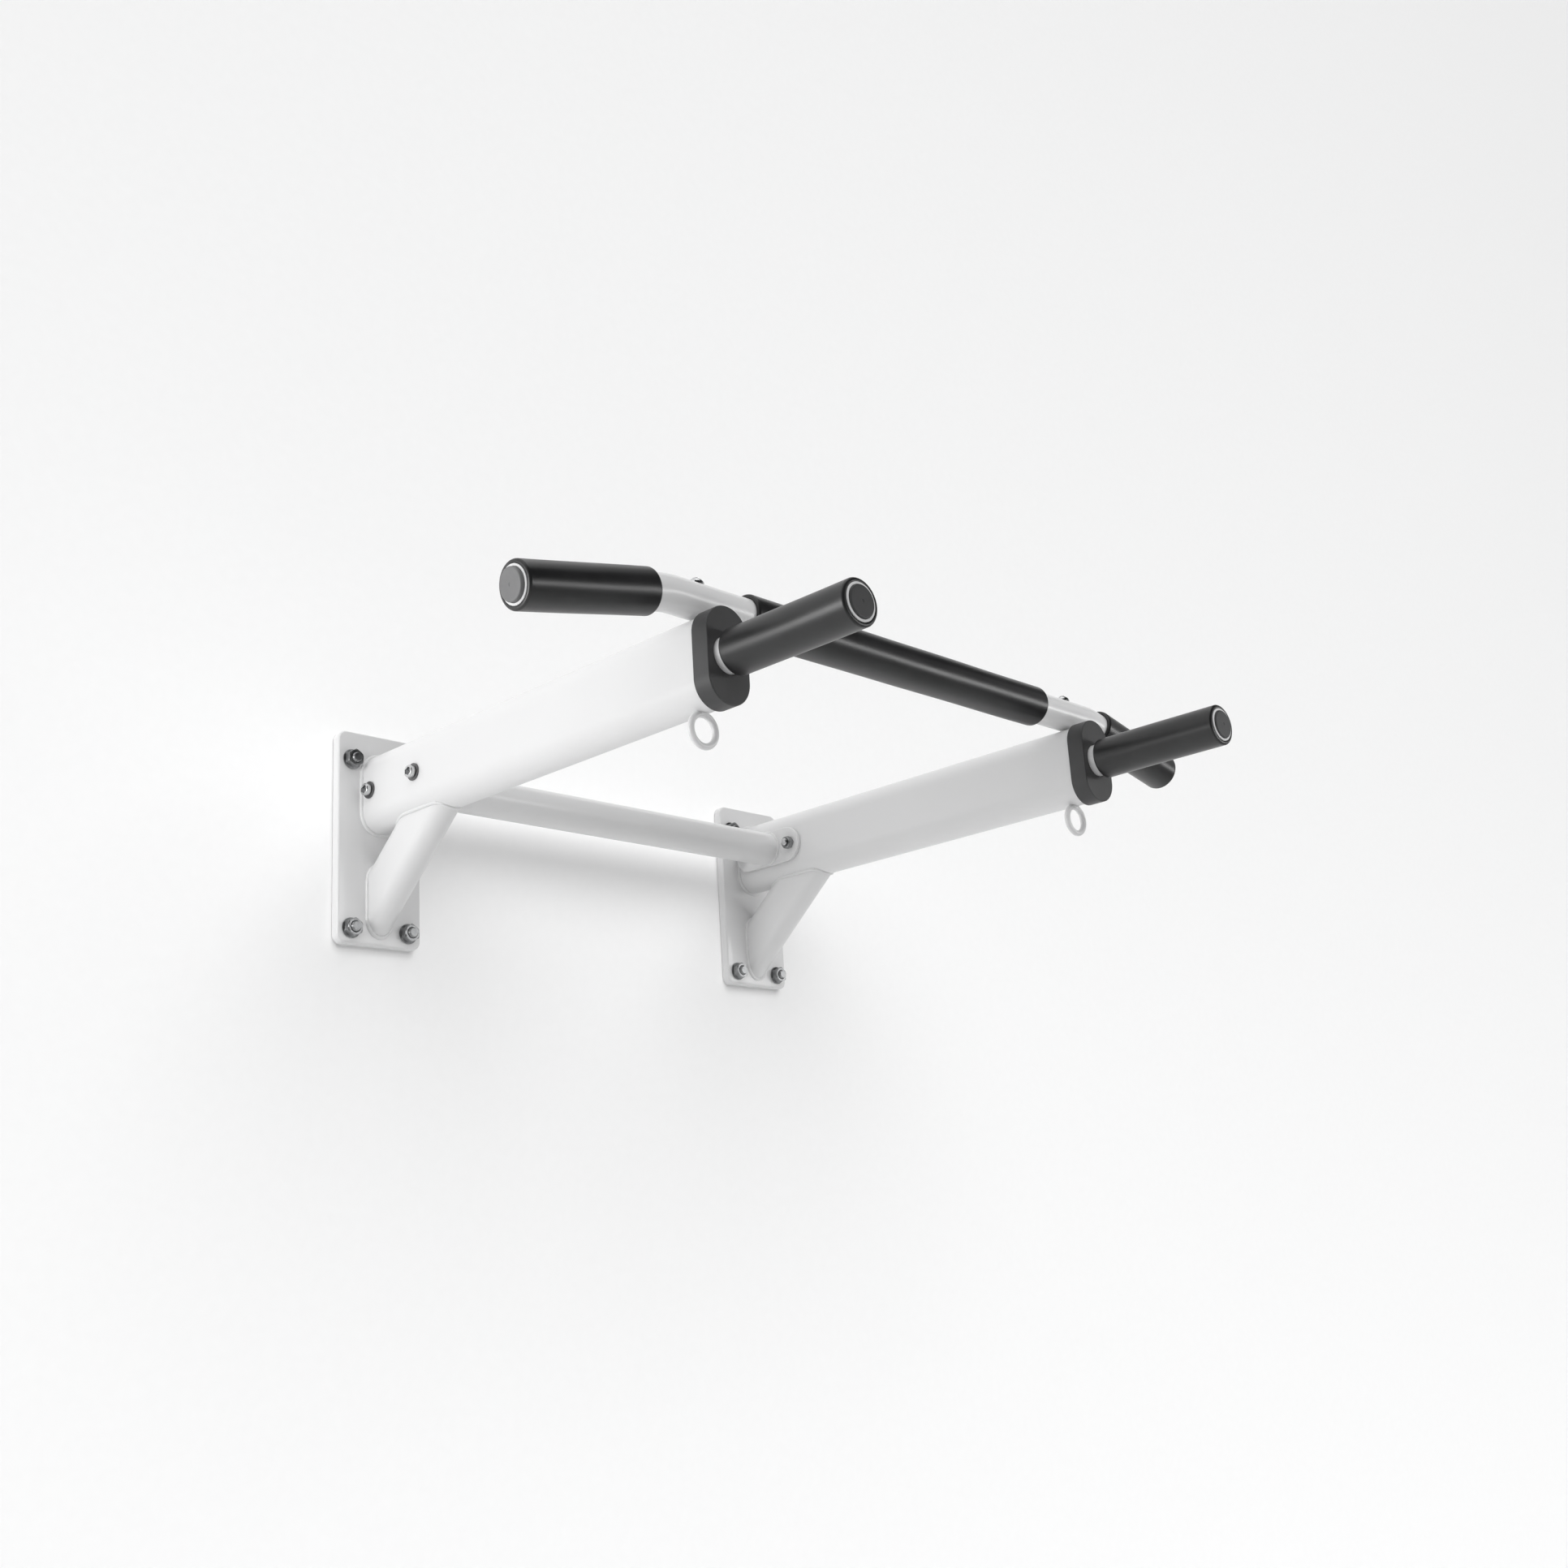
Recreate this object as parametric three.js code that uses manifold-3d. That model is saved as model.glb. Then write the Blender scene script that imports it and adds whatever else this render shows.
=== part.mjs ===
// Wall-mounted pull up bar: two welded wall brackets, a bolted-on rear cross tube, a bolted-on
// bent grip bar with foam grips, and a pair of forward parallel handles with foam grips.
// Millimetres. Origin on the wall plane, midway between the brackets, at the plates' mid height.
// +Y goes into the wall, so the bracket reaches out along -Y. +Z is up, +X to the user's right.
import * as THREE from 'three';
import { mergeVertices } from 'three/addons/utils/BufferGeometryUtils.js';
import Module from 'manifold-3d';

const wasm = await Module();
wasm.setup();

const GAP = 0.3;                 // clearance left between pieces that touch or are welded

// wall plates and their anchors
const PLATE = { width: 94, height: 212, thick: 10, corner: 9, edge: 2 };
const ANCHOR = { x: 32, zLow: -90.8, zHigh: 77.5, hole: 5.5, stud: 5, standOut: 11.2 };
const ANCHOR_NUT = { flat: 16, high: 8.4, flange: 10, flangeHigh: 1.6 };

// horizontal arms, flat-oval tube welded to the plates
const ARM = { x: 258, z: 44.6, width: 41, height: 80, wall: 2, endY: -497 };
const ARC = 12;                  // facets in each half round of a flat-oval section

// diagonal braces, flat-oval tube from each plate up to the underside of its arm
const BRACE = { width: 28, height: 55, wall: 2, footZ: -61.6, rise: 39.6 };

// sling rings under the arms
const RING = { y: -473.6, z: -9.9, hole: 10.4, rod: 3.1 };

// rear cross tube with a bolted flange at each end
const CROSS = { y: -61, radius: 19, wall: 2 };
const FLANGE = { long: 101, height: 40, thick: 4, boltOffset: 37.2 };
const M8 = { shank: 4, clear: 4.5, nutFlat: 13, nutHigh: 6.5 };
const CROSS_BOLT = { head: 6, headHigh: 5, socket: 7, socketDeep: 3.4, washer: 8.5, washerThick: 1.6 };

// grip bar on top of the arms, its ends bent down and slightly back
const TUBE = { radius: 16, wall: 2 };
const BAR = { y: -473.6, bendX: 295, bendRadius: 100, down: 10.9, back: 2.3, endLength: 149.8 };
const BAR_BOLT = { head: 7, headHigh: 4.6, socket: 5, socketDeep: 3, nutTop: 80.5 };

// foam sleeves
const FOAM = { radius: 20, edge: 2.2, middleHalf: 204.5, outerStart: 17.2, outerEnd: 149.3 };

// front handles and the caps they pass through
const CAP = { backY: -489, frontY: -507.3, over: 2.5, chamfer: 1.2, wall: 3 };
const HANDLE = { backY: -400, foamBackY: -515, foamFrontY: -650.1, endY: -650.6 };
const BULKHEAD = { y: -482, thick: 8 };
const PLUG = { radius: 13.65, deep: 20, wall: 2.5, edge: 1.2, barOut: 3.4, handleOut: 1.6 };

const TUBE_SEGMENTS = 24;
const FOAM_SEGMENTS = 28;
const BOLT_SEGMENTS = 12;
const RAD = Math.PI / 180;

// ---------------------------------------------------------------- solids

function solid(geometry) {
  geometry.deleteAttribute('normal');
  geometry.deleteAttribute('uv');
  const g = mergeVertices(geometry, 1e-4);
  const mesh = new wasm.Mesh({
    numProp: 3,
    vertProperties: new Float32Array(g.attributes.position.array),
    triVerts: new Uint32Array(g.index.array),
  });
  return new wasm.Manifold(mesh);
}

function geometryOf(body) {
  const mesh = body.getMesh();
  const g = new THREE.BufferGeometry();
  g.setAttribute('position', new THREE.BufferAttribute(new Float32Array(mesh.vertProperties), 3));
  g.setIndex(Array.from(mesh.triVerts));
  g.computeVertexNormals();
  return g;
}

// matrix that lays a shape drawn in (u, v) into the plane across axis w, with w as its length
const FACING = {
  x: new THREE.Matrix4().makeBasis(vec(0, 1, 0), vec(0, 0, 1), vec(1, 0, 0)),
  y: new THREE.Matrix4().makeBasis(vec(1, 0, 0), vec(0, 0, 1), vec(0, -1, 0)),
};

function vec(x, y, z) {
  return new THREE.Vector3(x, y, z);
}

function flatOval(width, height) {
  const shape = new THREE.Shape();
  const r = Math.min(width, height) / 2;
  const straight = Math.max(width, height) / 2 - r;
  const upright = height > width;
  const points = [];
  for (const end of [1, -1]) {
    for (let i = 0; i <= ARC; i++) {
      const a = (i / ARC) * Math.PI + (end > 0 ? 0 : Math.PI);
      const along = r * Math.sin(a) + end * straight;
      const across = r * Math.cos(a);
      points.push(upright ? new THREE.Vector2(across, along) : new THREE.Vector2(-along, across));
    }
  }
  if (!upright) points.reverse();
  return shape.setFromPoints(THREE.ShapeUtils.area(points) < 0 ? points.reverse() : points);
}

function prism(shape, depth) {
  return new THREE.ExtrudeGeometry(shape, { depth, bevelEnabled: false, curveSegments: 12 });
}

// a section drawn in (x, z) and run from y = from to y = to, where to is the smaller
function alongY(shape, from, to, x, z) {
  return solid(prism(shape, from - to).applyMatrix4(FACING.y).translate(x, from, z));
}

// a section drawn in (y, z) and run from the smaller x to the larger
function alongX(shape, x0, x1, y, z) {
  const low = Math.min(x0, x1);
  return solid(prism(shape, Math.abs(x1 - x0)).applyMatrix4(FACING.x).translate(low, y, z));
}

// a round solid of the given profile [radius, distance], turned about direction from a point
function turned(profile, from, direction, segments) {
  const lathe = new THREE.LatheGeometry(profile.map(([r, d]) => new THREE.Vector2(r, d)), segments);
  const turn = new THREE.Quaternion().setFromUnitVectors(vec(0, 1, 0), direction.clone().normalize());
  return solid(lathe.applyQuaternion(turn).translate(from.x, from.y, from.z));
}

function rod(radius, length, from, direction, segments = TUBE_SEGMENTS) {
  return turned([[0, 0], [radius, 0], [radius, length], [0, length]], from, direction, segments);
}

// a tube of rings set square to a list of stations
function sweep(stations, radius, segments) {
  const position = [];
  const index = [];
  stations.forEach(({ at, along }) => {
    const side = along.clone().cross(vec(0, 0, 1)).normalize();
    const up = side.clone().cross(along).normalize();
    for (let i = 0; i < segments; i++) {
      const a = (i / segments) * 2 * Math.PI;
      const p = at.clone().addScaledVector(side, radius * Math.cos(a)).addScaledVector(up, radius * Math.sin(a));
      position.push(p.x, p.y, p.z);
    }
  });
  const last = stations.length - 1;
  for (let k = 0; k < last; k++) {
    for (let i = 0; i < segments; i++) {
      const j = (i + 1) % segments;
      const [a, b, c, d] = [k * segments + i, k * segments + j, (k + 1) * segments + i, (k + 1) * segments + j];
      index.push(a, d, b, a, c, d);
    }
  }
  for (const [k, flip] of [[0, false], [last, true]]) {
    const centre = position.length / 3;
    position.push(stations[k].at.x, stations[k].at.y, stations[k].at.z);
    for (let i = 0; i < segments; i++) {
      const pair = [k * segments + i, k * segments + ((i + 1) % segments)];
      index.push(centre, ...(flip ? pair.reverse() : pair));
    }
  }
  const g = new THREE.BufferGeometry();
  g.setAttribute('position', new THREE.Float32BufferAttribute(position, 3));
  g.setIndex(index);
  return solid(g);
}

function hexPrism(flat, depth, from, direction) {
  const corner = flat / Math.sqrt(3);
  return rod(corner, depth, from, direction, 6);
}

// hexagon nut with chamfered corners and a clear bore, seated at a point and standing along direction
function nut(flat, high, bore, from, direction, flange = 0, flangeHigh = 0) {
  const corner = flat / Math.sqrt(3);
  const chamfer = corner - flat / 2;
  const round = turned(
    [[0, 0], [corner, 0], [corner, high - chamfer * 0.6], [flat / 2, high], [0, high]],
    from, direction, 18);
  let body = hexPrism(flat, high, from, direction).intersect(round);
  if (flange) body = body.add(turned(
    [[0, 0], [flange, 0], [flange, flangeHigh * 0.6], [flange - 1.2, flangeHigh], [0, flangeHigh]],
    from, direction, 20));
  const below = from.clone().addScaledVector(direction, -1);
  return body.subtract(rod(bore, high + 2, below, direction, BOLT_SEGMENTS));
}

// a foam sleeve with rounded ends round a tube
function sleeve(from, direction, length) {
  const { radius, edge } = FOAM;
  const bore = TUBE.radius + GAP;
  const ends = [];
  for (let i = 0; i <= 2; i++) {
    const a = (i / 2) * (Math.PI / 2);
    ends.push([radius - edge + edge * Math.sin(a), edge - edge * Math.cos(a)]);
  }
  const profile = [
    [bore, 0], ...ends,
    ...ends.map(([r, d]) => [r, length - d]).reverse(),
    [bore, length], [bore, 0],
  ];
  return turned(profile, from, direction, FOAM_SEGMENTS);
}

// a cup-shaped insert closing a tube end, its rounded face standing out past the tube
function plug(from, direction, out) {
  const { radius, deep, wall, edge } = PLUG;
  return turned([
    [0, -4], [radius - wall, -4], [radius - wall, -deep], [radius, -deep],
    [radius, out - edge], [radius - edge * 0.3, out - edge * 0.3], [radius - edge, out], [0, out],
  ], from, direction, TUBE_SEGMENTS);
}

// ---------------------------------------------------------------- assembly

const finish = {
  coat: { color: 0xeeeeee, roughness: 0.3, metalness: 0 },
  foam: { color: 0x1c1c1d, roughness: 0.75, metalness: 0 },
  moulding: { color: 0x262627, roughness: 0.5, metalness: 0 },
  greyMoulding: { color: 0x565657, roughness: 0.5, metalness: 0 },
  zinc: { color: 0x9a9c9e, roughness: 0.35, metalness: 1 },
  chrome: { color: 0xd8dadc, roughness: 0.12, metalness: 1 },
  darkZinc: { color: 0x6a6a6a, roughness: 0.45, metalness: 0.8 },
};

const pullUpBar = new THREE.Group();
pullUpBar.name = 'pull_up_bar';

function put(name, body, look) {
  const mesh = new THREE.Mesh(geometryOf(body), new THREE.MeshStandardMaterial(finish[look]));
  mesh.name = name;
  pullUpBar.add(mesh);
}

const barZ = ARM.z + ARM.height / 2 + TUBE.radius + GAP;
const outward = (side) => vec(
  side * Math.cos(BAR.down * RAD) * Math.cos(BAR.back * RAD),
  Math.cos(BAR.down * RAD) * Math.sin(BAR.back * RAD),
  -Math.sin(BAR.down * RAD));
const bendPoint = (side) => vec(side * BAR.bendX, BAR.y, barZ);

function wallPlate(x) {
  const { width, height, thick, corner, edge } = PLATE;
  const w = width / 2 - edge;
  const h = height / 2 - edge;
  const r = corner - edge;
  const shape = new THREE.Shape();
  shape.moveTo(-w + r, -h).lineTo(w - r, -h).absarc(w - r, -h + r, r, -Math.PI / 2, 0)
    .lineTo(w, h - r).absarc(w - r, h - r, r, 0, Math.PI / 2)
    .lineTo(-w + r, h).absarc(-w + r, h - r, r, Math.PI / 2, Math.PI)
    .lineTo(-w, -h + r).absarc(-w + r, -h + r, r, Math.PI, 1.5 * Math.PI);
  const slab = new THREE.ExtrudeGeometry(shape, {
    depth: thick - 2 * edge, bevelThickness: edge, bevelSize: edge, bevelSegments: 2, curveSegments: 4,
  });
  let body = solid(slab.applyMatrix4(FACING.y).translate(x, -edge, 0));
  for (const [px, pz] of anchorPoints(x)) {
    body = body.subtract(rod(ANCHOR.hole, thick + 2, vec(px, 1, pz), vec(0, -1, 0), 16));
  }
  return body;
}

function anchorPoints(x) {
  return [ANCHOR.zLow, ANCHOR.zHigh].flatMap((z) => [[x - ANCHOR.x, z], [x + ANCHOR.x, z]]);
}

function armTube(side) {
  const x = side * ARM.x;
  const { width, height, wall, z } = ARM;
  const inner = flatOval(width - 2 * wall, height - 2 * wall);
  let body = alongY(flatOval(width, height), -PLATE.thick - GAP, ARM.endY, x, z)
    .subtract(alongY(inner, 0, ARM.endY - 1, x, z))
    .subtract(rod(M8.clear, 40, vec(x, BAR.y, z + 10), vec(0, 0, 1), BOLT_SEGMENTS));
  for (const y of crossBoltYs()) {
    body = body.subtract(rod(M8.clear, width + 10, vec(x - width / 2 - 5, y, z), vec(1, 0, 0), BOLT_SEGMENTS));
  }
  return body;
}

function crossBoltYs() {
  return [CROSS.y + FLANGE.boltOffset, CROSS.y - FLANGE.boltOffset];
}

function braceTube(x) {
  const { width, height, wall, footZ, rise } = BRACE;
  const run = (ARM.z - footZ) / Math.sin(rise * RAD);
  const place = (geometry) => geometry.applyMatrix4(FACING.y)
    .rotateX(-rise * RAD).translate(x, -PLATE.thick, footZ);
  const outer = solid(place(prism(flatOval(width, height), run + 40).translate(0, 0, -40)));
  const inner = solid(place(prism(flatOval(width - 2 * wall, height - 2 * wall), run + 60).translate(0, 0, -50)));
  const wallSide = solid(new THREE.BoxGeometry(200, 200, 400).translate(x, 100 - PLATE.thick - GAP, 0));
  const arm = alongY(flatOval(ARM.width + 2 * GAP, ARM.height + 2 * GAP), 0, -300, x, ARM.z);
  return outer.subtract(inner).subtract(wallSide).subtract(arm);
}

function slingRing(x) {
  const torus = new THREE.TorusGeometry(RING.hole + RING.rod, RING.rod, 10, 24);
  const arm = alongY(flatOval(ARM.width + 2 * GAP, ARM.height + 2 * GAP), RING.y + 20, RING.y - 20, x, ARM.z);
  return solid(torus.rotateX(Math.PI / 2).translate(x, RING.y, RING.z)).subtract(arm);
}

function crossFlange(side) {
  const face = side * (ARM.x - ARM.width / 2 - GAP);
  let body = alongX(flatOval(FLANGE.long, FLANGE.height), face - side * FLANGE.thick, face, CROSS.y, ARM.z);
  for (const y of crossBoltYs()) {
    body = body.subtract(rod(M8.clear, 20, vec(face - 10, y, ARM.z), vec(1, 0, 0), BOLT_SEGMENTS));
  }
  return body;
}

function crossTube() {
  const half = ARM.x - ARM.width / 2 - 2 * GAP - FLANGE.thick;
  const { radius, wall, y } = CROSS;
  return rod(radius, 2 * half, vec(-half, y, ARM.z), vec(1, 0, 0))
    .subtract(rod(radius - wall, 2 * half + 2, vec(-half - 1, y, ARM.z), vec(1, 0, 0)));
}

function crossBolt(side, y) {
  const out = vec(side, 0, 0);
  const seat = vec(side * (ARM.x + ARM.width / 2 + CROSS_BOLT.washerThick + 2 * GAP), y, ARM.z);
  const { head, headHigh, socket, socketDeep } = CROSS_BOLT;
  const reach = CROSS_BOLT.washerThick + ARM.width + FLANGE.thick + M8.nutHigh + 4 * GAP + 3;
  const body = turned([
    [0, -reach], [M8.shank - 0.8, -reach], [M8.shank, 0.8 - reach], [M8.shank, 0],
    [head, 0], [head, headHigh - 0.8], [head - 0.8, headHigh], [0, headHigh],
  ], seat, out, 24);
  return body.subtract(hexPrism(socket, 10, seat.clone().addScaledVector(out, headHigh - socketDeep), out));
}

function washer(side, y) {
  const seat = vec(side * (ARM.x + ARM.width / 2 + GAP), y, ARM.z);
  const { washer: outer, washerThick } = CROSS_BOLT;
  return turned([
    [M8.shank + GAP, 0], [outer, 0], [outer, washerThick], [M8.shank + GAP, washerThick], [M8.shank + GAP, 0],
  ], seat, vec(side, 0, 0), 24);
}

function barStations() {
  const stations = [];
  const bend = Math.acos(Math.cos(BAR.down * RAD) * Math.cos(BAR.back * RAD));
  const tangent = BAR.bendRadius * Math.tan(bend / 2);
  for (const side of [-1, 1]) {
    const straight = vec(side, 0, 0);
    const out = outward(side);
    const inside = out.clone().sub(straight.clone().multiplyScalar(out.dot(straight))).normalize();
    const start = bendPoint(side).addScaledVector(straight, -tangent);
    const half = [];
    for (let i = 0; i <= 3; i++) {
      const a = (bend * i) / 3;
      const at = start.clone().addScaledVector(straight, BAR.bendRadius * Math.sin(a))
        .addScaledVector(inside, BAR.bendRadius * (1 - Math.cos(a)));
      const along = straight.clone().multiplyScalar(Math.cos(a)).addScaledVector(inside, Math.sin(a));
      half.push({ at, along });
    }
    half.push({ at: bendPoint(side).addScaledVector(out, BAR.endLength), along: out });
    if (side < 0) half.reverse().forEach((s) => s.along.negate());
    stations.push(...half);
  }
  return stations;
}

function barTube() {
  const stations = barStations();
  const longer = stations.map((s, i) => {
    const past = i === 0 ? -1 : i === stations.length - 1 ? 1 : 0;
    return { at: s.at.clone().addScaledVector(s.along, past), along: s.along };
  });
  let body = sweep(stations, TUBE.radius, TUBE_SEGMENTS)
    .subtract(sweep(longer, TUBE.radius - TUBE.wall, TUBE_SEGMENTS));
  for (const side of [-1, 1]) {
    const hole = vec(side * ARM.x, BAR.y, barZ - 30);
    body = body.subtract(rod(M8.clear, 60, hole, vec(0, 0, 1), BOLT_SEGMENTS));
  }
  return body;
}

// dome-headed bolt whose head is hollowed underneath to sit on the round of the grip bar
function barBolt(side) {
  const { head, headHigh, socket, socketDeep, nutTop } = BAR_BOLT;
  const x = side * ARM.x;
  const up = vec(0, 0, 1);
  const crown = barZ + TUBE.radius + GAP;
  const foot = nutTop - M8.nutHigh - 3;
  const dome = turned([
    [0, -5], [head, -5], [head, 0], [head - 0.7, 2], [head - 2.2, 3.8], [head - 4, headHigh], [0, headHigh],
  ], vec(x, BAR.y, crown), up, 24);
  const tube = rod(TUBE.radius + GAP, 60, vec(x - 30, BAR.y, barZ), vec(1, 0, 0), 48);
  const length = crown + 2 - foot;
  const shank = turned([[0, 0], [M8.shank - 0.8, 0], [M8.shank, 0.8], [M8.shank, length], [0, length]],
    vec(x, BAR.y, foot), up, 24);
  return dome.subtract(tube).add(shank)
    .subtract(hexPrism(socket, 10, vec(x, BAR.y, crown + headHigh - socketDeep), up));
}

function endCap(side) {
  const x = side * ARM.x;
  const { backY, frontY, over, chamfer, wall } = CAP;
  const outer = new THREE.ExtrudeGeometry(
    flatOval(ARM.width + 2 * over - 2 * chamfer, ARM.height + 2 * over - 2 * chamfer),
    { depth: backY - frontY - 2 * chamfer, bevelThickness: chamfer, bevelSize: chamfer, bevelSegments: 1 });
  const pocket = flatOval(ARM.width + 2 * GAP, ARM.height + 2 * GAP);
  const hollow = flatOval(ARM.width - 2 * ARM.wall, ARM.height - 2 * ARM.wall);
  return solid(outer.applyMatrix4(FACING.y).translate(x, backY - chamfer, ARM.z))
    .subtract(alongY(pocket, backY + 1, ARM.endY - GAP, x, ARM.z))
    .subtract(alongY(hollow, ARM.endY, frontY + wall, x, ARM.z))
    .subtract(rod(TUBE.radius + GAP, 60, vec(x, backY, ARM.z), vec(0, -1, 0), 28));
}

function bulkhead(x) {
  const { width, height, wall, z } = ARM;
  const shape = flatOval(width - 2 * wall - 2 * GAP, height - 2 * wall - 2 * GAP);
  return alongY(shape, BULKHEAD.y, BULKHEAD.y - BULKHEAD.thick, x, z)
    .subtract(rod(TUBE.radius + GAP, 30, vec(x, BULKHEAD.y + 10, z), vec(0, -1, 0), 28));
}

function handleTube(x) {
  const length = HANDLE.backY - HANDLE.endY;
  const { radius, wall } = TUBE;
  return rod(radius, length, vec(x, HANDLE.backY, ARM.z), vec(0, -1, 0))
    .subtract(rod(radius - wall, length + 2, vec(x, HANDLE.backY + 1, ARM.z), vec(0, -1, 0)));
}

put('rear_cross_tube', crossTube(), 'coat');
put('grip_bar_tube', barTube(), 'coat');
put('middle_grip', sleeve(vec(-FOAM.middleHalf, BAR.y, barZ), vec(1, 0, 0), 2 * FOAM.middleHalf), 'foam');

for (const [word, side] of [['left', -1], ['right', 1]]) {
  const x = side * ARM.x;
  const front = vec(0, -1, 0);
  const out = outward(side);
  const alongEnd = (distance) => bendPoint(side).addScaledVector(out, distance);

  put(`wall_plate_${word}`, wallPlate(x), 'coat');
  put(`arm_tube_${word}`, armTube(side), 'coat');
  put(`brace_tube_${word}`, braceTube(x), 'coat');
  put(`sling_ring_${word}`, slingRing(x), 'coat');
  put(`cross_flange_${word}`, crossFlange(side), 'coat');
  put(`handle_bulkhead_${word}`, bulkhead(x), 'coat');
  put(`handle_tube_${word}`, handleTube(x), 'coat');
  put(`end_cap_${word}`, endCap(side), 'moulding');
  put(`handle_grip_${word}`,
    sleeve(vec(x, HANDLE.foamBackY, ARM.z), front, HANDLE.foamBackY - HANDLE.foamFrontY), 'foam');
  put(`handle_plug_${word}`, plug(vec(x, HANDLE.endY, ARM.z), front, PLUG.handleOut), 'moulding');
  put(`outer_grip_${word}`, sleeve(alongEnd(FOAM.outerStart), out, FOAM.outerEnd - FOAM.outerStart), 'foam');
  put(`bar_plug_${word}`, plug(alongEnd(BAR.endLength), out, PLUG.barOut), 'greyMoulding');
  put(`bar_bolt_${word}`, barBolt(side), 'chrome');
  put(`bar_nut_${word}`,
    nut(M8.nutFlat, M8.nutHigh, M8.shank + GAP, vec(x, BAR.y, BAR_BOLT.nutTop), vec(0, 0, -1)), 'zinc');

  anchorPoints(x).forEach(([px, pz], i) => {
    const back = vec(px, -GAP, pz);
    const length = PLATE.thick + ANCHOR.standOut;
    put(`anchor_stud_${word}_${i + 1}`, turned([
      [0, 0], [ANCHOR.stud, 0], [ANCHOR.stud, length - 1], [ANCHOR.stud - 1, length], [0, length],
    ], back, front, BOLT_SEGMENTS), 'zinc');
    put(`anchor_nut_${word}_${i + 1}`, nut(ANCHOR_NUT.flat, ANCHOR_NUT.high, ANCHOR.stud + GAP,
      vec(px, -PLATE.thick - GAP, pz), front, ANCHOR_NUT.flange, ANCHOR_NUT.flangeHigh), 'zinc');
  });

  crossBoltYs().forEach((y, i) => {
    const inner = vec(side * (ARM.x - ARM.width / 2 - FLANGE.thick - 2 * GAP), y, ARM.z);
    put(`cross_bolt_${word}_${i + 1}`, crossBolt(side, y), 'chrome');
    put(`cross_washer_${word}_${i + 1}`, washer(side, y), 'darkZinc');
    put(`cross_nut_${word}_${i + 1}`,
      nut(M8.nutFlat, M8.nutHigh, M8.shank + GAP, inner, vec(-side, 0, 0)), 'zinc');
  });
}

export default pullUpBar;
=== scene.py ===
import math
import random

import bpy
from mathutils import Matrix, Vector


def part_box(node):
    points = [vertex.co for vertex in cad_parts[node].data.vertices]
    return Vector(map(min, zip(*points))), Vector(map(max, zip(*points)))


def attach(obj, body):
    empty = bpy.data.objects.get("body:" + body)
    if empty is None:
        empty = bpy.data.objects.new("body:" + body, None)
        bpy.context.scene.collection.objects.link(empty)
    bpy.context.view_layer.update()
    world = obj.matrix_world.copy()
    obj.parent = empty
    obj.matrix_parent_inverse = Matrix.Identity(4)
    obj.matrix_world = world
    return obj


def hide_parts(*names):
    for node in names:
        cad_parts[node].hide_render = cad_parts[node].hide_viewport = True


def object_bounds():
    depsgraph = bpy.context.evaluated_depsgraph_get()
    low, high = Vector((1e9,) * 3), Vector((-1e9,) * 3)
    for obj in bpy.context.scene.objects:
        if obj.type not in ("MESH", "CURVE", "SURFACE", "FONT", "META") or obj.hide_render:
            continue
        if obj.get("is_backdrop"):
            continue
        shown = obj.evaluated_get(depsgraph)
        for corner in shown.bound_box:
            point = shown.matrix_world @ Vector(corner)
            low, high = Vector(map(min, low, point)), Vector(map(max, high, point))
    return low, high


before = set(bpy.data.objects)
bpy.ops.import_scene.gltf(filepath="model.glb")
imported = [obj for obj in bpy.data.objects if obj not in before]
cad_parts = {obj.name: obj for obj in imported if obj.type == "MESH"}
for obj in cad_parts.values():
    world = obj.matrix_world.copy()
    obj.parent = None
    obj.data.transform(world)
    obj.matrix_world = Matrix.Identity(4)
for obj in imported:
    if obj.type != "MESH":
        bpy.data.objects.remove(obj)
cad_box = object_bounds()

MM = 0.001

# ------------------------------------------------------------------ camera
# The bar is seen from below and to its left, from a little under two metres away,
# through an ordinary lens tipped by a few degrees.
AZIMUTH, ELEVATION, ROLL = math.radians(46.66), math.radians(15.82), math.radians(-3.62)
STANDPOINT, LENS, SENSOR = (-1.2033, -1.4513, -0.4439), 40.56, 36

camera = bpy.data.objects.new("camera", bpy.data.cameras.new("camera"))
bpy.context.collection.objects.link(camera)
bpy.context.scene.camera = camera
camera.data.sensor_width, camera.data.lens = SENSOR, LENS
camera.data.clip_start = 0.05
ahead = Vector((math.sin(AZIMUTH) * math.cos(ELEVATION), math.cos(AZIMUTH) * math.cos(ELEVATION),
                math.sin(ELEVATION)))
level = Vector((math.cos(AZIMUTH), -math.sin(AZIMUTH), 0))
upright = level.cross(ahead)
across = level * math.cos(ROLL) + upright * math.sin(ROLL)
upright = upright * math.cos(ROLL) - level * math.sin(ROLL)
turn = Matrix((across, upright, -ahead)).transposed()
camera.matrix_world = Matrix.Translation(STANDPOINT) @ turn.to_4x4()


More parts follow.
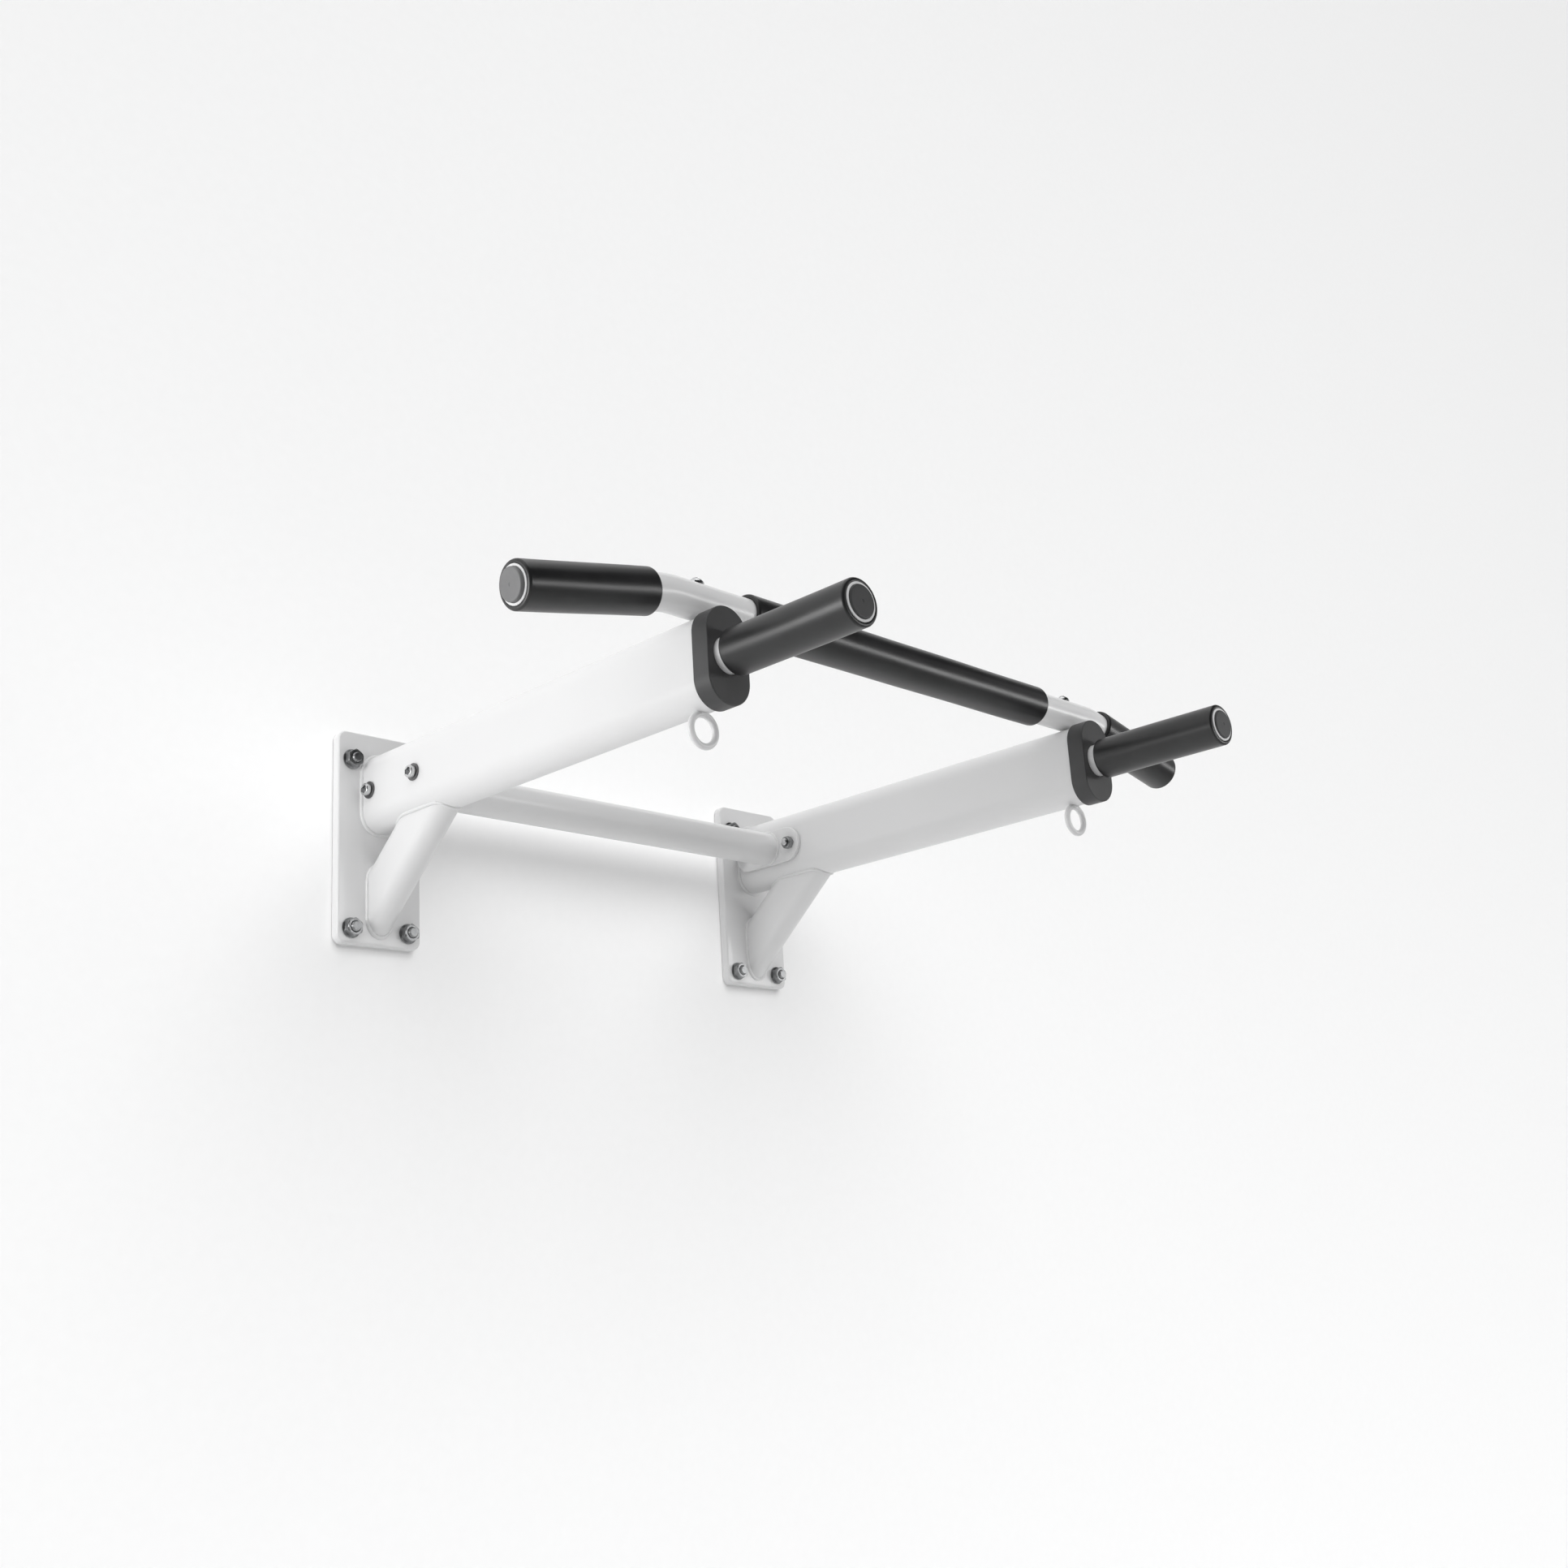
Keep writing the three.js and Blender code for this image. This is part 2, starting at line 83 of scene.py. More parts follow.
# ------------------------------------------------------------------ room and light
# A pale floor two metres below, a matt white wall that shows only from its room
# side, soft lamps that light the bar alone, and a wash of its own for the wall.
class Signal:
    """A node socket on which plain arithmetic makes Math nodes."""

    def __init__(self, tree, socket=None):
        self.tree, self.socket = tree, socket

    def node(self, kind, settings=(), sockets=(), out=0):
        made = self.tree.nodes.new("ShaderNode" + kind)
        for key, value in dict(settings).items():
            if key == "stops":
                elements = made.color_ramp.elements
                for place, shade in value[1:-1]:
                    elements.new(place)
                for element, (place, shade) in zip(elements, value):
                    element.position, element.color = place, (*shade, 1)
            else:
                setattr(made, key, value)
        for key, value in dict(sockets).items():
            if isinstance(value, Signal):
                self.tree.links.new(value.socket, made.inputs[key])
            else:
                made.inputs[key].default_value = value
        return Signal(self.tree, made.outputs[out]) if made.outputs else None

    def maths(self, operation, a, b=0.0):
        return self.node("Math", {"operation": operation}, {0: a, 1: b})

    def __add__(self, other):
        return self.maths("ADD", self, other)

    __radd__ = __add__

    def __mul__(self, other):
        return self.maths("MULTIPLY", self, other)

    __rmul__ = __mul__


def new_finish(name):
    finish = bpy.data.materials.new(name)
    finish.use_nodes = True
    finish.node_tree.nodes.clear()
    return finish, Signal(finish.node_tree)


def slab(name, corners, finish):
    mesh = bpy.data.meshes.new(name)
    mesh.from_pydata([Vector(c) for c in corners], [], [(0, 1, 2, 3)])
    made = bpy.data.objects.new(name, mesh)
    bpy.context.collection.objects.link(made)
    mesh.materials.append(finish)
    made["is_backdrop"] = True
    return made


FLOOR_Z, ROOM_REACH, WALL_TOP, WALL_GAP = -2.1, 6, 4, 0.0006
WALL_GLOW, SKY_STRENGTH = 0.13, 0.03

paint, s = new_finish("room_paint")
speckle = s.node("TexNoise", {}, {"Vector": s.node("TexCoord", out="Object"), "Scale": 90.0, "Detail": 4.0})
tone = s.node("ValToRGB", {"stops": [(0.3, (0.86, 0.86, 0.86)), (0.7, (0.88, 0.88, 0.88))]}, {"Fac": speckle})
matt = s.node("BsdfPrincipled", {}, {"Base Color": tone, "Roughness": 0.9, "Specular IOR Level": 0.1})
s.node("OutputMaterial", {}, {"Surface": matt})

wall_paint, s = new_finish("wall_paint")
speckle = s.node("TexNoise", {}, {"Vector": s.node("TexCoord", out="Object"), "Scale": 90.0, "Detail": 4.0})
tone = s.node("ValToRGB", {"stops": [(0.3, (0.79, 0.79, 0.79)), (0.7, (0.8, 0.8, 0.8))]}, {"Fac": speckle})
matt = s.node("BsdfPrincipled", {}, {
    "Base Color": tone, "Roughness": 0.95, "Specular IOR Level": 0.0,
    "Emission Color": (1, 1, 1, 1), "Emission Strength": WALL_GLOW})
far_side = s.node("NewGeometry", out="Backfacing")
wall_skin = s.node("MixShader", {}, {0: far_side, 1: matt, 2: s.node("BsdfTransparent")})
s.node("OutputMaterial", {}, {"Surface": wall_skin})

slab("floor", [(x * ROOM_REACH, y * ROOM_REACH, FLOOR_Z)
               for x, y in ((-1, -1), (1, -1), (1, 1), (-1, 1))], paint)
room_wall = slab("room_wall", [(-ROOM_REACH, WALL_GAP, FLOOR_Z), (ROOM_REACH, WALL_GAP, FLOOR_Z),
                               (ROOM_REACH, WALL_GAP, WALL_TOP), (-ROOM_REACH, WALL_GAP, WALL_TOP)], wall_paint)

sky = bpy.data.worlds.new("soft_sky")
bpy.context.scene.world = sky
sky.use_nodes = True
sky.node_tree.nodes["Background"].inputs["Color"].default_value = (0.95, 0.97, 1.0, 1)
sky.node_tree.nodes["Background"].inputs["Strength"].default_value = SKY_STRENGTH

off_the_wall = bpy.data.collections.new("off_the_wall")
off_the_wall.objects.link(room_wall)
off_the_wall.collection_objects[0].light_linking.link_state = "EXCLUDE"
wall_only = bpy.data.collections.new("wall_only")
wall_only.objects.link(room_wall)


def lamp(name, kind, shines, receivers=None):
    made = bpy.data.objects.new(name, bpy.data.lights.new(name, kind))
    bpy.context.collection.objects.link(made)
    made.rotation_euler = Vector(shines).to_track_quat("-Z", "Y").to_euler()
    if receivers:
        made.light_linking.receiver_collection = receivers
    return made


# name, place, what it points at, width, height, watts
PANELS = [
    ("strip_beside_wall", (-1.05, -0.12, -0.02), (-0.1, -0.55, 0.0), 0.5, 0.3, 4.2),
    ("strip_in_front", (1.5, -2.4, 0.1), (-0.1, -0.45, 0.1), 2.2, 0.4, 20.0),
    ("panel_left", (-2.6, -0.7, 0.4), (-0.2, -0.3, 0.0), 1.2, 1.2, 4.0),
    ("panel_left_high", (-1.9, -0.8, 2.2), (-0.1, -0.3, 0.0), 1.2, 1.2, 8.0),
    ("panel_above", (0.0, -0.8, 2.6), (0.0, -0.3, 0.0), 1.8, 1.8, 14.0),
    ("panel_right", (2.6, -1.2, 0.8), (0.2, -0.3, 0.0), 1.6, 1.6, 3.0),
]
for name, place, target, width, height, watts in PANELS:
    panel = lamp(name, "AREA", Vector(target) - Vector(place), off_the_wall)
    panel.data.shape, panel.data.size, panel.data.size_y, panel.data.energy = "RECTANGLE", width, height, watts
    panel.location = place
    panel.visible_camera = False

# name, the way it shines, degrees across, strength, what it lights
GLOWS = [
    ("bright_ceiling", (0.15, 0.75, -0.65), 70, 1.3, None),
    ("wall_wash", (0.05, 0.86, -0.5), 50, 1.85, wall_only),
]
for name, shines, across_degrees, strength, receivers in GLOWS:
    glow = lamp(name, "SUN", shines, receivers)
    glow.data.angle, glow.data.energy = math.radians(across_degrees), strength
    glow.visible_glossy = False
bpy.context.scene.view_settings.view_transform = "Standard"


# ------------------------------------------------------------------ wall plates
# Two flame-cut steel plates, 10 mm thick, corners and edges rounded, drilled for
# four anchors each, and powder coated gloss white with the rest of the weldment.
COAT_WHITE = (0.76, 0.76, 0.762)


def white_coat():
    finish, s = new_finish("white_powder_coat")
    place = s.node("TexCoord", out="Object")
    peel = s.node("TexNoise", {}, {"Vector": place, "Scale": 420.0, "Detail": 3.0, "Roughness": 0.45})
    fine = s.node("TexNoise", {}, {"Vector": place, "Scale": 2600.0, "Detail": 2.0})
    drift = s.node("TexNoise", {}, {"Vector": place, "Scale": 9.0, "Detail": 3.0})
    tone = s.node("ValToRGB", {"stops": [
        (0.35, tuple(c * 0.985 for c in COAT_WHITE)), (0.65, COAT_WHITE)]}, {"Fac": drift})
    gloss = 0.29 + 0.05 * drift
    skin = s.node("Bump", {}, {"Strength": 0.12, "Distance": 0.0003, "Height": peel + 0.25 * fine})
    coat = s.node("BsdfPrincipled", {}, {
        "Base Color": tone, "Roughness": gloss, "Normal": skin,
        "Specular IOR Level": 0.5, "Coat Weight": 0.15, "Coat Roughness": 0.18})
    s.node("OutputMaterial", {}, {"Surface": coat})
    return finish


WHITE = white_coat()


def build(name, verts, faces, finish, slot, stands_for=(), smooth=32):
    """A piece of the bar from its points and faces, smooth except across sharp edges."""
    mesh = bpy.data.meshes.new(name)
    mesh.from_pydata(verts, [], faces)
    mesh.validate()
    mesh.shade_smooth()
    mesh.set_sharp_from_angle(angle=math.radians(smooth))
    mesh.materials.append(finish)
    made = bpy.data.objects.new(name, mesh)
    bpy.context.collection.objects.link(made)
    even = made.modifiers.new("even", "WEIGHTED_NORMAL")
    even.keep_sharp = True
    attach(made, "root")
    if stands_for:
        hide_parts(*stands_for)
    return made


def loft(rings, closed=False):
    """Points and faces of a skin over rings of equal count, capped unless it closes on itself."""
    count = len(rings[0])
    verts = [p for ring in rings for p in ring]
    faces = []
    spans = len(rings) if closed else len(rings) - 1
    for k in range(spans):
        a, b = k * count, (k + 1) % len(rings) * count
        for i in range(count):
            j = (i + 1) % count
            faces.append((a + i, a + j, b + j, b + i))
    if not closed:
        faces.append(tuple(reversed(range(count))))
        faces.append(tuple(range((len(rings) - 1) * count, len(rings) * count)))
    return verts, faces


def placed(outline, origin, u, v):
    return [origin + u * a + v * b for a, b in outline]


def rounded_box(width, height, corner, count=12):
    points = []
    for cx, cz, start in ((1, 1, 0), (-1, 1, 90), (-1, -1, 180), (1, -1, 270)):
        for i in range(count + 1):
            a = math.radians(start + 90 * i / count)
            points.append((cx * (width / 2 - corner) + corner * math.cos(a),
                           cz * (height / 2 - corner) + corner * math.sin(a)))
    return points


def edge_steps(edge, count=5):
    """(inset, depth) pairs that round an edge over, from the face outwards."""
    for i in range(count + 1):
        a = math.pi / 2 * i / count
        yield edge - edge * math.sin(a), edge - edge * math.cos(a)


def drill(made, centres, radius, axis, reach):
    """Cuts round holes through a piece."""
    side, up = axis.orthogonal().normalized(), axis.cross(axis.orthogonal()).normalized()
    circle = [(radius * math.cos(a), radius * math.sin(a)) for a in (math.tau * i / 40 for i in range(40))]
    verts, faces = [], []
    for centre in centres:
        some, more = loft([placed(circle, centre + axis * d, side, up) for d in (-reach, reach)])
        faces += [tuple(i + len(verts) for i in face) for face in more]
        verts += some
    mesh = bpy.data.meshes.new("bit")
    mesh.from_pydata(verts, [], faces)
    bit = bpy.data.objects.new("bit", mesh)
    bpy.context.collection.objects.link(bit)
    cut = made.modifiers.new("holes", "BOOLEAN")
    cut.object, cut.solver = bit, "EXACT"
    made.modifiers.move(len(made.modifiers) - 1, 0)
    graph = bpy.context.evaluated_depsgraph_get()
    holed = bpy.data.meshes.new_from_object(made.evaluated_get(graph), depsgraph=graph)
    made.modifiers.remove(cut)
    for modifier in list(made.modifiers):
        made.modifiers.remove(modifier)
    made.data = holed
    holed.set_sharp_from_angle(angle=math.radians(32))
    bpy.data.objects.remove(bit)
    bpy.data.meshes.remove(mesh)


def box_of(node):
    """The low and high corners of a piece's solid."""
    low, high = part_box(node)
    return Vector(low), Vector(high)


ANCHOR_X = 32 * MM
ANCHOR_LOW, ANCHOR_HIGH, ANCHOR_HOLE = -90.8 * MM, 77.5 * MM, 5.5 * MM
PLATE_CORNER, PLATE_EDGE = 9 * MM, 2 * MM
X, Y, Z = Vector((1, 0, 0)), Vector((0, 1, 0)), Vector((0, 0, 1))
SIDES = (("left", -1), ("right", 1))

for word, side in SIDES:
    low, high = box_of(f"wall_plate_{word}")
    middle, size = (low + high) / 2, high - low
    rings = []
    for inset, depth in edge_steps(PLATE_EDGE * 0.4, 3):
        rings.append(placed(rounded_box(size.x - 2 * inset, size.z - 2 * inset, PLATE_CORNER - inset),
                            Vector((middle.x, high.y - depth, middle.z)), X, Z))
    for inset, depth in reversed(list(edge_steps(PLATE_EDGE))):
        rings.append(placed(rounded_box(size.x - 2 * inset, size.z - 2 * inset, PLATE_CORNER - inset),
                            Vector((middle.x, low.y + depth, middle.z)), X, Z))
    plate = build(f"plate_{word}", *loft(rings), WHITE, "white_coat", [f"wall_plate_{word}"])
    anchors = [Vector((middle.x + sx * ANCHOR_X, middle.y, z))
               for z in (ANCHOR_LOW, ANCHOR_HIGH) for sx in (-1, 1)]
    drill(plate, anchors, ANCHOR_HOLE, Y, 20 * MM)


# ------------------------------------------------------------------ arms
# Two lengths of flat-oval steel tube, set on edge and fillet welded all round to
# the plates. The coat has flowed over the weld's ripples.
def flat_oval(width, height, count=24, on_sides=1):
    r, flat = width / 2, height / 2 - width / 2
    points = []
    for end in (1, -1):
        for i in range(count + 1):
            a = math.pi * i / count + (0 if end > 0 else math.pi)
            points.append((r * math.cos(a), r * math.sin(a) + end * flat))
        for i in range(1, on_sides):
            points.append((-end * r, end * flat * (1 - 2 * i / on_sides)))
    return points


def even_loop(points, step):
    """A closed path walked again in equal steps."""
    lengths = [(points[i] - points[i - 1]).length for i in range(len(points))]
    total = sum(lengths)
    count = max(12, round(total / step))
    walked, at, i = [], 0.0, 1
    reach = lengths[1]
    for k in range(count):
        goal = total * k / count
        while at + reach < goal:
            at += reach
            i += 1
            reach = lengths[i % len(points)]
        a, b = points[i - 1], points[i % len(points)]
        walked.append(a.lerp(b, (goal - at) / reach if reach else 0))
    return walked


def weld(name, path, radius, seed):
    """A bead of weld round a closed path, with the ripples that each pulse of the torch leaves."""
    rng = random.Random(seed)
    path = even_loop(path, 0.55 * MM)
    count = len(path)
    rings = []
    wander = [rng.uniform(-1, 1) for _ in range(count // 9 + 2)]
    for k in range(count):
        along = (path[(k + 1) % count] - path[k - 1]).normalized()
        side = along.cross(Y if abs(along.y) < 0.9 else Z).normalized()
        up = side.cross(along).normalized()
        phase = (k % 5) / 5
        slow = wander[k // 9] * (1 - k % 9 / 9) + wander[(k // 9 + 1) % (count // 9)] * (k % 9 / 9)
        r = radius * (1 + 0.03 * math.cos(math.tau * phase) + 0.04 * slow)
        rings.append([path[k] + side * (r * math.cos(a)) + up * (r * math.sin(a))
                      for a in (math.tau * i / 14 for i in range(14))])
    return build(name, *loft(rings, closed=True), WHITE, "white_coat", smooth=80)


ARM_WALL = 2 * MM
for word, side in SIDES:
    low, high = box_of(f"arm_tube_{word}")
    middle, size = (low + high) / 2, high - low
    rings = []
    for inner in (0, 1):
        w, h = size.x - 2 * inner * ARM_WALL, size.z - 2 * inner * ARM_WALL
        stations = [high.y - (high.y - low.y) * t / 40 for t in range(41)]
        for y in (reversed(stations) if inner else stations):
            rings.append(placed(flat_oval(w, h), Vector((middle.x, y, middle.z)), X, Z))
    build(f"arm_{word}", *loft(rings, closed=True), WHITE, "white_coat", [f"arm_tube_{word}"])
    plate_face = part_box(f"wall_plate_{word}")[0][1]
    outline = placed(flat_oval(size.x, size.z), Vector((middle.x, plate_face, middle.z)), X, Z)
    weld(f"arm_weld_{word}", outline, 2.5 * MM, 11 + side)


# ------------------------------------------------------------------ braces
# A shorter, narrower flat-oval tube under each arm, cut to the plate at the foot,
# coped to the arm's round underside at the head and welded at both.
BRACE_WIDTH, BRACE_HEIGHT, BRACE_FOOT = 28 * MM, 55 * MM, -61.6 * MM
BRACE_RISE = math.radians(39.6)
climb = Vector((0, -math.cos(BRACE_RISE), math.sin(BRACE_RISE)))
crosswise = Vector((0, math.sin(BRACE_RISE), math.cos(BRACE_RISE)))

for word, side in SIDES:
    arm_low, arm_high = box_of(f"arm_tube_{word}")
    arm_x, arm_round = (arm_low.x + arm_high.x) / 2, (arm_high.x - arm_low.x) / 2
    plate_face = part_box(f"wall_plate_{word}")[0][1]
    foot, head, deep = [], [], []
    for a, b in flat_oval(BRACE_WIDTH, BRACE_HEIGHT, 32):
        start = Vector((arm_x + a, plate_face, BRACE_FOOT)) + crosswise * b
        first = (start.y - plate_face) / math.cos(BRACE_RISE)
        under = arm_low.z + arm_round - math.sqrt(arm_round ** 2 - a ** 2)
        last = (under - start.z) / math.sin(BRACE_RISE)
        foot.append(start + climb * first)
        head.append(start + climb * last)
        deep.append(start + climb * (last + 2.5 * MM))
    rings = [[p.lerp(q, t / 16) for p, q in zip(foot, deep)] for t in range(17)]
    build(f"brace_{word}", *loft(rings), WHITE, "white_coat", [f"brace_tube_{word}"])
    weld(f"brace_foot_weld_{word}", foot, 2.2 * MM, 21 + side)
    weld(f"brace_head_weld_{word}", head, 1.9 * MM, 31 + side)


# ------------------------------------------------------------------ sling rings
# A ring bent from 6 mm rod and welded to the underside of each arm near the front,
# for a strap or a carabiner.
for word, side in SIDES:
    low, high = box_of(f"sling_ring_{word}")
    rod = (high.y - low.y) / 2
    ring = (high.x - low.x) / 2 - rod
    centre = Vector(((low.x + high.x) / 2, (low.y + high.y) / 2, low.z + ring + rod))
    rings = []
    for k in range(96):
        a = math.tau * k / 96
        out = X * math.cos(a) + Z * math.sin(a)
        rings.append([centre + out * (ring + rod * math.cos(b)) + Y * (rod * math.sin(b))
                      for b in (math.tau * i / 24 for i in range(24))])
    build(f"ring_{word}", *loft(rings, closed=True), WHITE, "white_coat", [f"sling_ring_{word}"], smooth=80)
    arm_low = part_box(f"arm_tube_{word}")[0]
    seat = [Vector((centre.x + 5.2 * MM * math.cos(a), centre.y + 2.6 * MM * math.sin(a),
                    arm_low[2] + 0.7 * MM * math.cos(a) ** 2))
            for a in (math.tau * i / 60 for i in range(60))]
    weld(f"ring_weld_{word}", seat, 1.5 * MM, 41 + side)


# ------------------------------------------------------------------ rear cross tube
# A round tube with an obround flange welded on at each end. The flanges lie flat
# on the arms' inner faces and are bolted through them.
def circle(radius, count=64):
    return [(radius * math.cos(math.tau * i / count), radius * math.sin(math.tau * i / count)) for i in range(count)]


low, high = box_of("rear_cross_tube")
radius = (high.z - low.z) / 2
centre_y, centre_z = (low.y + high.y) / 2, (low.z + high.z) / 2
rings = []
for r, order in ((radius, 1), (radius - 2 * MM, -1)):
    for t in range(25)[::order]:
        x = low.x + (high.x - low.x) * t / 24
        rings.append(placed(circle(r), Vector((x, centre_y, centre_z)), Y, Z))
build("cross_tube", *loft(rings, closed=True), WHITE, "white_coat", ["rear_cross_tube"])

BOLT_OFFSET = 37.2 * MM
for word, side in SIDES:
    low, high = box_of(f"cross_flange_{word}")
    size, middle = high - low, (low + high) / 2
    near = low.x if side > 0 else high.x
    far = high.x if side > 0 else low.x
    rings = []
    for inset, depth in edge_steps(0.9 * MM, 4):
        outline = [(b, a) for a, b in flat_oval(size.z - 2 * inset, size.y - 2 * inset)]
        rings.append(placed(outline, Vector((near + side * depth, middle.y, middle.z)), Y, Z))
    outline = [(b, a) for a, b in flat_oval(size.z, size.y)]
    rings.append(placed(outline, Vector((far, middle.y, middle.z)), Y, Z))
    flange = build(f"flange_{word}", *loft(rings), WHITE, "white_coat", [f"cross_flange_{word}"])
    drill(flange, [middle + Y * (k * BOLT_OFFSET) for k in (-1, 1)], 4.5 * MM, X, 20 * MM)
    weld(f"cross_weld_{word}", placed(circle(radius), Vector((near, centre_y, centre_z)), Y, Z), 2.0 * MM, 51 + side)


# ------------------------------------------------------------------ grip bar
# One round tube laid across the arms. Its ends are bent down and a little back
# towards the wall, and stay open until the plugs go in.
BAR_RADIUS, BAR_WALL = 16 * MM, 2 * MM
BEND_X, BEND_RADIUS, END_LENGTH = 295 * MM, 100 * MM, 149.8 * MM
DOWN, BACK = math.radians(10.9), math.radians(2.3)

low, high = box_of("middle_grip")
bar_y, bar_z = (low.y + high.y) / 2, (low.z + high.z) / 2
outward = {side: Vector((side * math.cos(DOWN) * math.cos(BACK), math.cos(DOWN) * math.sin(BACK), -math.sin(DOWN)))
           for word, side in SIDES}
corner = {side: Vector((side * BEND_X, bar_y, bar_z)) for word, side in SIDES}


def bar_half(side):
    """(point, direction) along one half of the bar, from its middle to its end."""
    straight, out = X * side, outward[side]
    bend = straight.angle(out)
    inside = (out - straight * out.dot(straight)).normalized()
    start = corner[side] - straight * (BEND_RADIUS * math.tan(bend / 2))
    yield Vector((0, bar_y, bar_z)), straight
    for t in range(1, 12):
        yield Vector((start.x * t / 12, bar_y, bar_z)), straight
    for t in range(13):
        a = bend * t / 12
        yield (start + straight * (BEND_RADIUS * math.sin(a)) + inside * (BEND_RADIUS * (1 - math.cos(a))),
               straight * math.cos(a) + inside * math.sin(a))
    for t in range(1, 9):
        done = BEND_RADIUS * math.tan(bend / 2)
        yield corner[side] + out * (done + (END_LENGTH - done) * t / 8), out


left = [(p, -d) for p, d in reversed(list(bar_half(-1)))]
run = left + list(bar_half(1))[1:]
rings = []
for r, stations in ((BAR_RADIUS, run), (BAR_RADIUS - BAR_WALL, run[::-1])):
    for k, (point, direction) in enumerate(stations):
        level_side = direction.cross(Z).normalized()
        rise = level_side.cross(direction).normalized()
        ends = k in (0, len(stations) - 1)
        if ends and r == BAR_RADIUS:
            inwards = direction * (0.35 * MM if k == 0 else -0.35 * MM)
            pair = [placed(circle(r - 0.35 * MM), point, level_side, rise),
                    placed(circle(r), point + inwards, level_side, rise)]
            rings += pair if k == 0 else pair[::-1]
        else:
            rings.append(placed(circle(r), point, level_side, rise))
build("grip_bar", *loft(rings, closed=True), WHITE, "white_coat", ["grip_bar_tube"])


# ------------------------------------------------------------------ handle tubes
# Two straight tubes that come forward out of the arms through the caps. Behind,
# each one is welded into a bulkhead inside its arm.
for word, side in SIDES:
    low, high = box_of(f"handle_tube_{word}")
    axis = (low + high) / 2
    rings = []
    for r, order in ((BAR_RADIUS, 1), (BAR_RADIUS - BAR_WALL, -1)):
        for t in range(13)[::order]:
            y = high.y + (low.y - high.y) * t / 12
            if t == 12 and order == 1:
                rings.append(placed(circle(r), Vector((axis.x, y + 0.35 * MM, axis.z)), X, Z))
                r -= 0.35 * MM
            rings.append(placed(circle(r), Vector((axis.x, y, axis.z)), X, Z))
    build(f"handle_{word}", *loft(rings, closed=True), WHITE, "white_coat", [f"handle_tube_{word}"])
for word, side in SIDES:
    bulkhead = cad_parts[f"handle_bulkhead_{word}"]
    bulkhead.data.materials.clear()
    bulkhead.data.materials.append(WHITE)


# ------------------------------------------------------------------ foam grips
# Closed-cell foam sleeves pushed over the tubes, with a smooth satin skin outside
# and open cut cells on their end faces.
FOAM_BLACK = (0.0115, 0.0115, 0.012)


def grip_foam():
    finish, s = new_finish("black_grip_foam")
    place = s.node("TexCoord", out="Object")
    cells = s.node("TexVoronoi", {"feature": "F1"}, {"Vector": place, "Scale": 1500.0, "Randomness": 1.0})
    grain = s.node("TexNoise", {}, {"Vector": place, "Scale": 900.0, "Detail": 5.0, "Roughness": 0.6})
    worn = s.node("TexNoise", {}, {"Vector": place, "Scale": 22.0, "Detail": 5.0, "Roughness": 0.62})
    colour = s.node("ValToRGB", {"stops": [
        (0.3, tuple(c * 0.8 for c in FOAM_BLACK)), (0.72, tuple(c * 1.5 for c in FOAM_BLACK))]}, {"Fac": worn})
    gloss = 0.27 + 0.1 * worn + 0.05 * grain
    height = 0.5 * cells + 0.4 * grain
    skin = s.node("Bump", {}, {"Strength": 0.1, "Distance": 0.0003, "Height": height})
    foam = s.node("BsdfPrincipled", {}, {
        "Base Color": colour, "Roughness": gloss, "Normal": skin,
        "Specular IOR Level": 0.55})
    s.node("OutputMaterial", {}, {"Surface": foam})
    return finish


FOAM = grip_foam()
FOAM_RADIUS, FOAM_EDGE = 20 * MM, 2.4 * MM


def grip(name, start, direction, length, stands_for, seed):
    rng = random.Random(seed)
    level_side = direction.cross(Z).normalized()
    rise = level_side.cross(direction).normalized()
    ends = [(FOAM_RADIUS - inset, depth) for inset, depth in edge_steps(FOAM_EDGE, 8)]
    body = [(FOAM_RADIUS, FOAM_EDGE + (length - 2 * FOAM_EDGE) * t / 40) for t in range(1, 40)]
    outer = ends + body + [(r, length - d) for r, d in reversed(ends)]
    bore = BAR_RADIUS + 0.15 * MM
    lip = bore + 0.5 * MM
    inner = [(lip, length), (bore, length - 0.5 * MM), (bore, 0.5 * MM), (lip, 0)]
    phase = [rng.uniform(0, math.tau) for _ in range(4)]
    rings = []
    for r, d in outer + inner:
        ring = []
        for i in range(72):
            a = math.tau * i / 72
            swell = 0.0
            if r > bore + 1 * MM:
                swell = 0.09 * MM * (math.sin(d / (23 * MM) + phase[0] + 2 * math.sin(a + phase[1]))
                                     + 0.6 * math.sin(3 * a + d / (41 * MM) + phase[2]))
            ring.append(start + direction * d
                        + (level_side * math.cos(a) + rise * math.sin(a)) * (r + swell))
        rings.append(ring)
    made = build(name, *loft(rings, closed=True), FOAM, "foam", stands_for, smooth=50)


low, high = box_of("middle_grip")
grip("foam_middle", Vector((low.x, bar_y, bar_z)), X, high.x - low.x, ["middle_grip"], 5)
OUTER_START, OUTER_END = 17.2 * MM, 149.3 * MM
for word, side in SIDES:
    grip(f"foam_outer_{word}", corner[side] + outward[side] * OUTER_START, outward[side],
         OUTER_END - OUTER_START, [f"outer_grip_{word}"], 7 + side)
    low, high = box_of(f"handle_grip_{word}")
    middle = (low + high) / 2
    grip(f"foam_handle_{word}", Vector((middle.x, high.y, middle.z)), -Y, high.y - low.y,
         [f"handle_grip_{word}"], 17 + side)


# ------------------------------------------------------------------ caps and plugs
# Injection-moulded plastic: a black cap over each arm's front end with a hole for
# the handle tube, and a black insert plug in every open tube end. The bar-end plugs
# are a lighter grey copy of the black plastic: painted light for the lamp light on their end faces.
# The grey is the black plastic made lighter: painted light on the bar-end plugs' end faces.
MOULDED_BLACK, PLUG_GREY_PAINTED_LIT = (0.044, 0.044, 0.045), (0.15, 0.15, 0.152)


